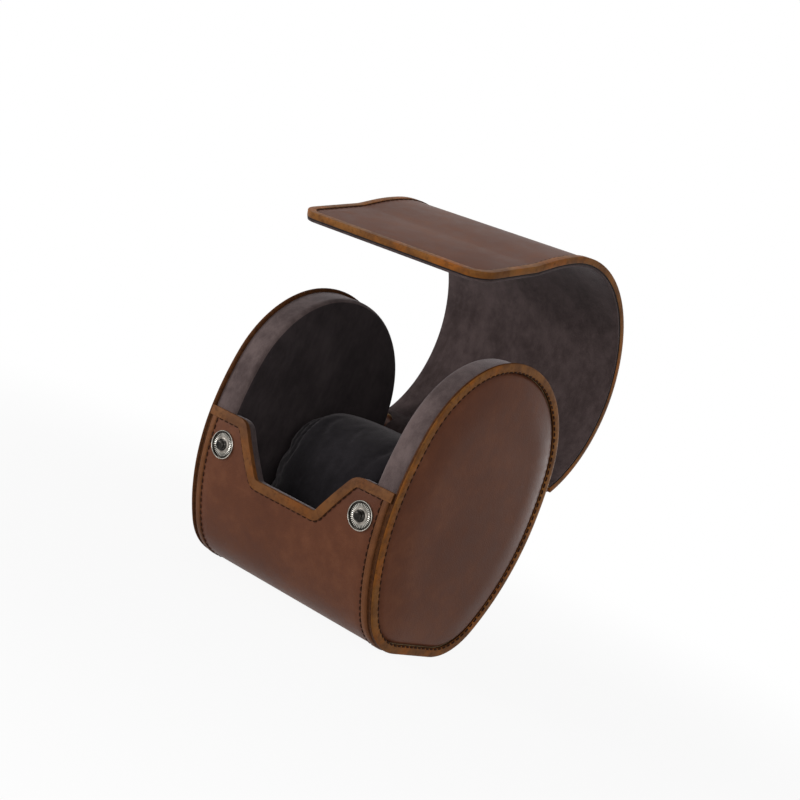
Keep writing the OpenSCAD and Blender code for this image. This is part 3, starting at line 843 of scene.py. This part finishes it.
def cheek(which, side):
    cover = oval_disc("cheek_" + which, -1.15, side * (SEAT_X - 0.02))
    edit_all(cover)
    extrude_by(-side * (SEAT_X - 0.02 - BAY_HALF), 0, 0)
    close_edit()
    recalculate(cover)
    pick(cover, "edges", lambda e: all(
        abs(abs(cover.data.vertices[i].co.x) - BAY_HALF * MM) < 1e-5 for i in e.vertices))
    bpy.ops.mesh.bevel(offset=RIM_R * MM, segments=6, affect="EDGES")
    close_edit()
    smooth(cover, 50)
    # Painted light: the cover wears the lighter copy of the suede.
    dress(cover, suede_painted_light, "base", ["cheek_cover_" + which])
    # Painted shade: the face towards the bay gets the darker copy of the suede.
    cover.data.materials.append(suede_shade)
    for face in cover.data.polygons:
        face.material_index = int(abs(face.center.x) < (BAY_HALF + 0.3) * MM
                                  and abs(face.normal.x) > 0.8)


for which, side in SIDES:
    cheek(which, side)

# %% [markdown]
# ** Lid and flap leather.** One sheet again, from the root at the back over the crown and
# down to the flap's tip. The two free corners are rounded: the corner points of the last,
# long face are bevelled.

# %% Lid sheets
CORNER = 7.0
INSIDE_LID = (6, 92)


def lid_sheet(name, off, thickness, inset):
    """A sheet over the open lid and flap, its free edges moved in by inset."""
    half = LID_X - inset
    path = lid_path(off, skirt=LID_SKIRT - FLEX_BARE)
    steep = flap_path(off, 3, inset)
    piece = lay_sheet(name, path + steep[:1] + steep[-1:], half)
    tip = Vector((0, *steep[-1])) * MM

    def at_tip(v):
        return abs(v.co.y - tip.y) < 1e-5 and abs(v.co.z - tip.z) < 1e-5

    pick(piece, "vertices", lambda v: at_tip(v) and abs(v.co.x) < (half - 0.5) * MM)
    bpy.ops.mesh.dissolve_verts()
    close_edit()
    pick(piece, "polygons", lambda f: abs(f.normal.x) < 0.01 and f.center.y < steep[0][0] * MM
         and len(f.vertices) > 2 and min((piece.data.vertices[i].co - tip).length
                                         for i in f.vertices) < (half + 2) * MM)
    bpy.ops.mesh.dissolve_faces()
    close_edit()
    pick(piece, "vertices", at_tip)
    bpy.ops.mesh.bevel(offset=(CORNER - inset) * MM, segments=8, affect="VERTICES")
    close_edit()
    face_out(piece, INSIDE_LID)
    if thickness:
        thicken(piece, thickness)
    return piece


lid_skin = lid_sheet("lid_skin", 3.2, 1.1, 0.5)
soften(lid_skin, 0.2)
smooth(lid_skin, 50)
dress(lid_skin, brown, None, ["lid_leather", "flap_leather"])
SHEET_MIDDLE, CREASE_HALF = 1.8, 1.8
before_flex = Vector(lid_path(SHEET_MIDDLE, skirt=LID_SKIRT - CREASE_HALF)[-1])
over_flex = (Vector(flap_path(SHEET_MIDDLE)[0]) - before_flex).normalized() * CREASE_HALF


def flexes(piece):
    """Bakes a sheet's placement into its mesh."""
    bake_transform(piece)


flexes(lid_skin)

# %% [markdown]
# ** The lid's binding.** The same tan leather binds the lid's two sides and the flap's
# free edge. An inset of the whole sheet leaves a rim of constant width round it, also
# round the corners. The middle is deleted, so is the rim's part across the root, and the
# rest is thickened. A thinner dark rim under it paints the shade on the edge of the layers.

# %% Lid binding
ROOT_BELOW = 75


def lid_rim(name, off, width, thickness, inset=0.0):
    rim = lid_sheet(name, off, 0, inset)
    edit_all(rim)
    bpy.ops.mesh.select_mode(type="FACE")
    bpy.ops.mesh.inset(thickness=width * MM, depth=0, use_boundary=True)
    bpy.ops.mesh.delete(type="FACE")
    close_edit()
    edge = (LID_X - inset - width - 0.05) * MM
    pick(rim, "polygons", lambda f: f.center.z < ROOT_BELOW * MM and abs(f.center.x) < edge)
    bpy.ops.mesh.delete(type="FACE")
    close_edit()
    face_out(rim, INSIDE_LID)
    thicken(rim, thickness)
    return rim


lid_band = lid_rim("lid_binding_leather", 3.6, 2.7, 2.05)
soften(lid_band, 0.45, 3, 50)
smooth(lid_band, 50)
dress(lid_band, tan, None, ["lid_binding", "flap_binding"])
# Darkened inward sides of the binding: burnished edge and painted shade.
burnish(lid_band, tan_edge_and_shade, lambda f: abs(f.normal.x) > 0.75 and f.normal.x * f.center.x < 0)
flexes(lid_band)
# Painted shade: a thin dark rim under the binding, on the layers' edge.
shaded_edge = lid_rim("lid_painted_shade_rim", 1.6, 1.2, 0.4, 0.1)
smooth(shaded_edge, 50)
dress(shaded_edge, painted_rim_shade, None)
flexes(shaded_edge)

# %% [markdown]
# ** The lid's lining.** The same microsuede as the base lining; the cheeks' cover is a copy
# of it painted lighter, as painted light. The flap's part of it has a round hole for each
# snap socket, which the stud goes into when the case is shut.

# %% Lid lining
SNAP_X, SNAP_Z, SOCKET_AT, SOCKET_R = 29.8, 10.3, 10.02, 3.05


def aimed(spot, way):
    """A matrix that moves to a spot and lays Z along a direction."""
    return Matrix.Translation(spot) @ way.to_track_quat("Z", "Y").to_matrix().to_4x4()


lid_suede = lid_sheet("lid_suede", 1.25, 0.85, 0.25)
first, last = (Vector((0, *flap_path(1.25)[k])) for k in (0, -1))
along_flap = (last - first).normalized()
through = Vector((0, -along_flap.z, along_flap.y))
for x in (-SNAP_X, SNAP_X):
    deselect()
    bpy.ops.mesh.primitive_cylinder_add(vertices=48, radius=SOCKET_R * MM, depth=5 * MM)
    hole = bpy.context.object
    hole_at = first + along_flap * (SOCKET_AT - FLEX_BARE) + Vector((x, 0, 0))
    hole.data.transform(aimed(hole_at * MM, through))
    carve(lid_suede, hole)
soften(lid_suede, 0.2)
smooth(lid_suede, 50)
dress(lid_suede, suede, None, ["lid_lining", "flap_lining"])
flexes(lid_suede)

# %% [markdown]
# ** The hinge lining.** Between the barrel's lining and the lid's, bare suede bridges the
# fold. It follows a smooth bend and widens towards the lid.

# %% Hinge lining
HINGE_SUEDE_X = BAY_HALF - 0.1
inner_start = oval_path(-2.72, 180, wrap_end - 2.0)[-1]
inner_root = lid_path(0.55)[1]
fold = bend(inner_start, (inner_start[0] + 0.5, inner_start[1] + 5.2), inner_root, 12)
hinge_suede = lay_sheet("hinge_suede", [inner_start] + fold, HINGE_SUEDE_X, 20,
                        flare=lambda k: widening(k, 8, HINGE_SUEDE_X, HINGE_SUEDE_X + 6.6))
face_out(hinge_suede)
thicken(hinge_suede, 0.6)
smooth(hinge_suede, 60)
dress(hinge_suede, suede, None)
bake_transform(hinge_suede)

# %% [markdown]
# **Snaps.** The studs on the horns: a bright rolled ring, a ribbed dish inside it and a
# dark round stud in the middle. One is spun from its section and copied to the other
# horn. Their sockets, inside the flap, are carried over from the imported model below.

# %% Snaps
RIBS = 36
snap_turn = 180 + math.degrees(math.asin(SNAP_Z / FLANK_R))
snap_yz = oval_at(snap_turn)


def spun(name, section, steps):
    """A round piece, turned about Z from a section of (radius, height) points in mm."""
    deselect()
    bpy.ops.mesh.primitive_circle_add(vertices=steps, radius=section[0][0] * MM,
                                      fill_type="NOTHING")
    piece = bpy.context.object
    piece.name = name
    edit_all(piece)
    bpy.ops.transform.translate(value=(0, 0, section[0][1] * MM))
    for (ra, za), (rb, zb) in zip(section, section[1:]):
        bpy.ops.mesh.extrude_edges_move(TRANSFORM_OT_translate={"value": (0, 0, (zb - za) * MM)})
        bpy.ops.transform.resize(value=(rb / ra, rb / ra, 1))
    bpy.ops.mesh.edge_face_add()
    close_edit()
    recalculate(piece)
    return piece


def put(piece, x, yz, turn):
    """Lays a piece's own Z along the normal turn, at x and (y, z), and applies it."""
    out, across = Vector((0, cos(turn), sin(turn))), Vector((1, 0, 0))
    place = Matrix((across, out.cross(across), out)).transposed().to_4x4()
    place.translation = Vector((x, *yz)) * MM
    piece.data.transform(place)


def twin(piece, name):
    new = piece.copy()
    new.data = piece.data.copy()
    new.name = name
    bpy.context.scene.collection.objects.link(new)
    return new


def polar(spot):
    """Radius in mm and angle of a spot about the piece's own Z."""
    return math.hypot(spot.x, spot.y) / MM, math.atan2(spot.y, spot.x)


def ribbed(piece, inner, outer, depth):
    """Presses ribs into the vertices of a dish between two radii, in mm."""
    for vertex in piece.data.vertices:
        r, a = polar(vertex.co)
        if inner < r < outer:
            vertex.co.z += depth * MM * (0.5 + 0.5 * math.cos(RIBS * a))


ring = spun("snap_ring_a", [(4.6, -0.25), (4.6, 0.4), (4.54, 0.6), (4.45, 0.68), (4.35, 0.62),
                            (4.29, 0.45), (4.27, -0.1)], 72)
smooth(ring, 45)
dish = spun("snap_dish_a", [(4.3, -0.2), (4.3, 0.0), (3.8, 0.0), (3.68, 0.26), (3.2, 0.24),
                            (2.8, 0.2), (2.4, 0.16), (2.2, 0.3), (2.0, 0.46), (1.8, 0.5),
                            (1.66, 0.4), (1.62, 0.1)], 144)
ribbed(dish, 2.9, 3.75, -0.2)
smooth(dish, 30)
stud = spun("snap_stud_a", [(1.62, 0.0), (1.62, 0.42), (1.3, 0.55), (1.12, 0.9), (1.25, 1.2),
                            (1.5, 1.45), (1.5, 1.75), (1.3, 2.0), (0.8, 2.1), (0.35, 2.05)], 40)
smooth(stud, 50)


HUB_R, RIB_IN, RIB_OUT, DISH_R = 1.9, 2.7, 3.7, 4.28


def plate_of(spot):
    """Painted shade: dark in the hub, the ribs' valleys and the groove round them, bright on the
    ribs.
    """
    r, a = polar(spot)
    valley = RIB_IN < r < RIB_OUT and math.cos(RIBS * a) > 0.1
    if valley or RIB_OUT < r < DISH_R or r < HUB_R:
        return 2
    return 0 if r > RIB_IN else 1


# The dish is painted with shade: darker copies of the metal lie in its hollows.
for plate in (metal, metal_half_shade, metal_dark_and_shade):
    dish.data.materials.append(plate)
for face in dish.data.polygons:
    face.material_index = plate_of(face.center)
for made, name, material, node in ((ring, "snap_ring_b", metal, "snap_rings"),
                                   (dish, "snap_dish_b", None, "snap_rings"),
                                   (stud, "snap_stud_b", metal_dark_and_shade, "snap_studs")):
    other = twin(made, name)
    put(made, SNAP_X, snap_yz, snap_turn)
    put(other, -SNAP_X, snap_yz, snap_turn)
    dress(made, material, "base", [node])
    dress(other, material, "base", [node])

# %% [markdown]
# **The cushion.** A soft suede block that a watch is strapped round. Its loose cover is
# a cube, subdivided and pulled to a superellipse that is a little too small. Blender's
# cloth then fills it: the two seams and the sole are pinned, and pressure swells the
# rest, which draws real puckers beside the seams. The cloth works on a copy ten times as
# large, because its stiffness is meant for such sizes, and no point may move far.

# %% Cushion cover
CUSHION = (54, 46, 58)
CUSHION_LOW = 3.5 + 0.3
ROUND_ENDS, ROUND_GIRTH = 4.5, 2.7
SEAM_AT, SEAM_HALF, SOLE = 0.73, 0.8, 1.2
CLOTH_SCALE = 10
SLACK, MOST_SWELL, FRAMES = 2.0, 2.1, 20


def cushion_cover():
    """The cover before it is filled, and the numbers of the points that are held."""
    deselect()
    bpy.ops.mesh.primitive_cube_add(size=2)
    piece = bpy.context.object
    piece.name = "cushion"
    edit_all(piece)
    bpy.ops.mesh.subdivide(number_cuts=36)
    close_edit()
    held = []
    for vertex in piece.data.vertices:
        x, y, z = vertex.co
        girth = (abs(y) ** ROUND_GIRTH + abs(z) ** ROUND_GIRTH) ** (ROUND_ENDS / ROUND_GIRTH)
        r = (abs(x) ** ROUND_ENDS + girth) ** (1 / ROUND_ENDS)
        spot = Vector((x / r * CUSHION[0] / 2, y / r * CUSHION[1] / 2, z / r * CUSHION[2] / 2))
        on_seam = abs(abs(spot.x) - SEAM_AT * CUSHION[0] / 2) < SEAM_HALF
        height = spot.z + CUSHION[2] / 2
        if on_seam or height < SOLE:
            held.append(vertex.index)
        share = 0.15 + 0.85 * min(1.0, height / 5)
        inward = Vector((0.25 * spot.x, spot.y, spot.z)).normalized()
        spot -= inward * share * (SLACK * (0.72 if on_seam else 1))
        vertex.co = spot * MM * CLOTH_SCALE
    return piece, held


def fill(piece, held):
    """Swells a cover with the cloth modifier and brings it back to its real size."""
    start = [vertex.co.copy() for vertex in piece.data.vertices]
    piece.vertex_groups.new(name="held").add(held, 1.0, "REPLACE")
    cloth = piece.modifiers.new("cloth", "CLOTH")
    settings = cloth.settings
    settings.quality = 6
    settings.mass = 0.1
    settings.tension_stiffness = settings.compression_stiffness = 8
    settings.shear_stiffness, settings.bending_stiffness = 3, 0.2
    settings.use_pressure, settings.uniform_pressure_force = True, 4
    settings.shrink_min = -0.06
    settings.effector_weights.gravity = 0
    settings.vertex_group_mass = "held"
    for frame_number in range(1, FRAMES + 1):
        bpy.context.scene.frame_set(frame_number)
    only(piece)
    bpy.ops.object.modifier_apply(modifier=cloth.name)
    bpy.context.scene.frame_set(1)
    most = MOST_SWELL * MM * CLOTH_SCALE
    for vertex, was in zip(piece.data.vertices, start):
        move = vertex.co - was
        if move.length > 0:
            vertex.co = was + move.normalized() * most * math.tanh(move.length / most)
        vertex.co = vertex.co / CLOTH_SCALE + Vector((0, 0, CUSHION[2] / 2 + CUSHION_LOW)) * MM
    piece.vertex_groups.clear()
    wide, heights = (sorted(v.co[axis] / MM for v in piece.data.vertices) for axis in (0, 2))
    print("cushion filled, widest at", round(wide[-1], 2), "top at", round(heights[-1], 2),
          "sole at", round(heights[0], 2))


cushion, held_points = cushion_cover()
fill(cushion, held_points)
modify(cushion, "SUBSURF", levels=1, render_levels=1)
smooth(cushion, 80)
dress(cushion, suede_dark, "cushion", ["cushion_cover", "cushion_core"])

# %% [markdown]
# **Stitches.** Every binding is sewn down with dark waxed thread. One stitch is a short
# six-sided thread with tapered ends. It is copied along each seam, a piece at a time,
# and the copies are joined.

# %% One stitch
PITCH, STITCH = 2.3, 1.7


def one_stitch(radius):
    deselect()
    bpy.ops.mesh.primitive_cylinder_add(vertices=6, radius=radius * MM, depth=STITCH * 0.6 * MM,
                                        rotation=(0, math.pi / 2, 0))
    stitch = bpy.context.object
    bpy.ops.object.transform_apply(location=True, rotation=True, scale=True)
    for side in (1, -1):
        pick(stitch, "polygons", lambda f: f.normal.x * side > 0.9)
        extrude_by(side * STITCH * 0.2, 0, -radius * 0.8)
        bpy.ops.transform.resize(value=(1, 0.55, 0.55))
        close_edit()
    return stitch


def spaced(path, pitch):
    """Points and directions at even steps along a path of 3-D points in mm."""
    lengths = [0.0]
    for a, b in zip(path, path[1:]):
        lengths.append(lengths[-1] + (b - a).length)
    count = max(2, round(lengths[-1] / pitch))
    step, k, places = lengths[-1] / count, 0, []
    for n in range(count):
        s = (n + 0.5) * step
        while lengths[k + 1] < s:
            k += 1
        t = (s - lengths[k]) / (lengths[k + 1] - lengths[k])
        places.append((path[k].lerp(path[k + 1], t), (path[k + 1] - path[k]).normalized()))
    return places


def sew(name, path, normal, body, thick=0.24):
    """Copies the stitch along a path; normal gives the surface's direction at a point."""
    stitch = one_stitch(thick)
    copies = []
    for n, (point, along) in enumerate(spaced(path, PITCH)):
        out = normal(point)
        out = (out - along * out.dot(along)).normalized()
        place = Matrix((along, out.cross(along), out)).transposed().to_4x4()
        place.translation = point * MM
        new = twin(stitch, name + "_" + str(n))
        new.data.transform(place)
        copies.append(new)
    bpy.data.objects.remove(stitch, do_unlink=True)
    deselect()
    for new in copies:
        new.select_set(True)
    bpy.context.view_layer.objects.active = copies[0]
    bpy.ops.object.join()
    seam = bpy.context.object
    seam.name = name
    smooth(seam, 60)
    dress(seam, thread, body)


print("needle ready")

# %% Seams of the base
def on_plane(x, path):
    return [Vector((x, y, z)) for y, z in path]


def outwards(point):
    return Vector((0, point.y, point.z - BASE_H))


for which, side in SIDES:
    ring_path = on_plane(side * (SEAT_X + 1.32), oval_path(-2.82, 0, 360, 1.0))
    sew("welt_seam_" + which, ring_path, lambda p: Vector((side, 0, 0)), "base", thick=0.3)
    side_path = on_plane(side * (STRIP_X - 0.12), oval_path(0.06, 182.5, wrap_end - 1, 1.0))
    sew("strip_seam_" + which, side_path, outwards, "base")

# %% Seam under the front binding
def front_line(w, x_end):
    """Points on the wrap's front along the edge, w below it."""
    line, path = edge_line_at(w, x_end), []
    for (xa, za), (xb, zb) in zip(line, line[1:]):
        steps = max(1, round(math.hypot(xb - xa, zb - za)))
        for k in range(steps + (xb == x_end)):
            x, z = xa + (xb - xa) * k / steps, za + (zb - za) * k / steps
            y, up_z = oval_at(180 + math.degrees(math.asin(min(1, -z / FLANK_R))), 0.1)
            path.append(Vector((x, y, up_z)))
    return path


sew("front_seam", front_line(3.2, STRIP_X - 0.4), outwards, "base")

# %% Seam of the lid's binding
SEAM_IN = 2.85


def lid_normal(point):
    return Vector((0, point.y - INSIDE_LID[0], point.z - INSIDE_LID[1]))


lid_line = lid_path(3.3, skirt=LID_SKIRT - 1.5)[2:]
flap_line = flap_path(3.3, 3, SEAM_IN)
flap_side = LID_X - SEAM_IN
for which, side in SIDES:
    sew("lid_seam_" + which, on_plane(side * flap_side, lid_line), lid_normal, "lid")
a, b = Vector(flap_line[0]), Vector(flap_line[-1])
down = (b - a).normalized()
r = CORNER - SEAM_IN
stop = b - down * r
around = [Vector((-flap_side, a.x, a.y)), Vector((-flap_side, stop.x, stop.y))]
for k in range(1, 9):
    t = 90 * k / 8
    spot = stop + down * (r * sin(t))
    around.append(Vector((-flap_side + r * (1 - cos(t)), spot.x, spot.y)))
around += [Vector((-p.x, p.y, p.z)) for p in reversed(around)]
flap_out = Vector((0, -down.y, down.x))
if flap_out.dot(lid_normal(Vector((0, b.x, b.y)))) < 0:
    flap_out = -flap_out
sew("flap_seam", around, lambda p: flap_out, "flap")

# %% [markdown]
# **The carried parts.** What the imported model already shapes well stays: boards, cores,
# washers and sockets. Each gets its own finish.

# %% Finishes of the carried parts
FINISHES = (
    (board, "base_board end_board_left end_board_right lid_board flap_board"),
    (foam, "end_padding_left end_padding_right cushion_core"),
    (fibreboard, "cheek_core_left cheek_core_right"),
    (metal, "snap_washers socket_bodies socket_caps snap_rings"),
    (metal_dark_and_shade, "socket_springs snap_studs"),
    (brown, "base_leather lid_leather flap_leather end_panel_left end_panel_right"),
    (brown_strip, "side_strip_left side_strip_right"),
    (tan, "end_welt_left end_welt_right front_binding lid_binding flap_binding"),
    (suede, "base_lining lid_lining flap_lining cheek_cover_left cheek_cover_right"),
    (suede_dark, "cushion_cover"),
)
for material, names in FINISHES:
    for name in names.split():
        for place_slot in bpy.data.objects[name].material_slots:
            place_slot.material = material
    print(material.name, "on", names)

# %% [markdown]
# **Light and ground.** The photograph has the even light of a white tent: soft from
# above and in front, with one stronger window on the left that draws the sheen on the
# lid. The ground is white without a line, and still takes a faint shadow, because a small
# share of it is matte paper near the case.

# %% World and ground
WHITE, PAPER, SOFT = (1, 1, 1, 1), (0.86, 0.86, 0.86, 1), 0.28


def bright_rays(f):
    """1 for rays that have to see plain white: to the camera, mirrored or refracted."""
    seen = f.node("ShaderNodeLightPath", output="Is Camera Ray")
    for kind in ("Is Glossy Ray", "Is Transmission Ray"):
        seen = seen.maths("MAXIMUM", seen, f.node("ShaderNodeLightPath", output=kind))
    return seen


world = bpy.data.worlds.new("tent")
bpy.context.scene.world = world
tent = Finish("tent", world)
soft = tent.node("ShaderNodeBackground", None, {"Color": WHITE, "Strength": SOFT})
direct = tent.node("ShaderNodeBackground", None, {"Color": WHITE, "Strength": 1.0})
tent.ends_in(tent.node("ShaderNodeMixShader", None, {0: bright_rays(tent), 1: soft, 2: direct}),
             "ShaderNodeOutputWorld")

deselect()
bpy.ops.mesh.primitive_plane_add(size=14)
ground = bpy.context.object
ground.name = "ground"
g = Finish("white_paper")
matte = g.node("ShaderNodeBsdfDiffuse", None, {"Color": PAPER})
glow = g.node("ShaderNodeEmission", None, {"Color": WHITE, "Strength": 1.0})
distance = g.node("ShaderNodeVectorMath", {"operation": "LENGTH"}, {0: g.place()}, "Value")
share = bright_rays(g) * (g.between(distance, 0.1, 0.4) * 0.08 + 0.92)
g.ends_in(g.node("ShaderNodeMixShader", None, {0: share, 1: matte, 2: glow}))
ground.data.materials.append(g.made)

# %% [markdown]
# Four square lamps give the object its shape: the window on the left, a fill on the
# right, a weak one above, and a small one behind that draws a line of light on the edges.

# %% Lamps
def lamp(name, spot, aim, size, power):
    data = bpy.data.lights.new(name, "AREA")
    data.shape, data.size, data.energy = "SQUARE", size, power
    light = bpy.data.objects.new(name, data)
    bpy.context.scene.collection.objects.link(light)
    light.matrix_world = aimed(Vector(spot), (Vector(spot) - Vector(aim)).normalized())


lamp("window", (-0.66, -0.78, 0.22), (0, 0, 0.06), 0.5, 5.5)
lamp("fill", (0.77, -0.72, 0.2), (0, 0, 0.05), 0.7, 3.7)
lamp("top", (-0.3, 0.1, 1.0), (0, 0, 0.05), 0.6, 0.2)
lamp("edge", (0.04, 0.9, 0.06), (0.04, 0, 0.05), 0.12, 0.6)
